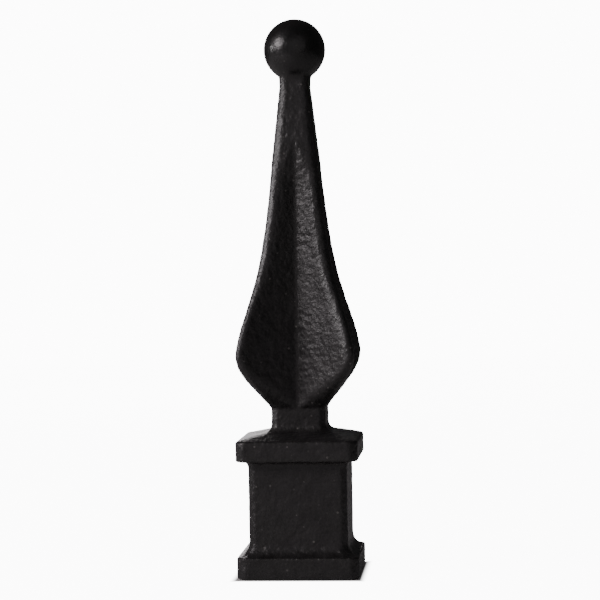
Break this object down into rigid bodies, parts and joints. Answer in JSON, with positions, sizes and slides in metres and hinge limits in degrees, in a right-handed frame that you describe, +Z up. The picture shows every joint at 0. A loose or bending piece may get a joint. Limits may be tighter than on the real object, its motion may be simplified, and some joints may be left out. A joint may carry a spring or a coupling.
{
  "type": "fence spear point",
  "caption": "Cast-iron fence picket cap: a square banded socket below a narrow neck and a four-winged, grooved spear blade that tapers to a ball tip.",
  "frame": {"origin": "centre of the underside of the collar's foot band", "axes": "+Z up along the axis to the ball; +X and +Y square to the flat faces of the collar, so a flat face looks along -Y"},
  "size_m": [0.0318, 0.0318, 0.1455],
  "materials": {
    "casting": "satin black paint over sand-cast iron"
  },
  "bodies": {
    "root": {"spear_point": "casting"}
  },
  "joints": []
}
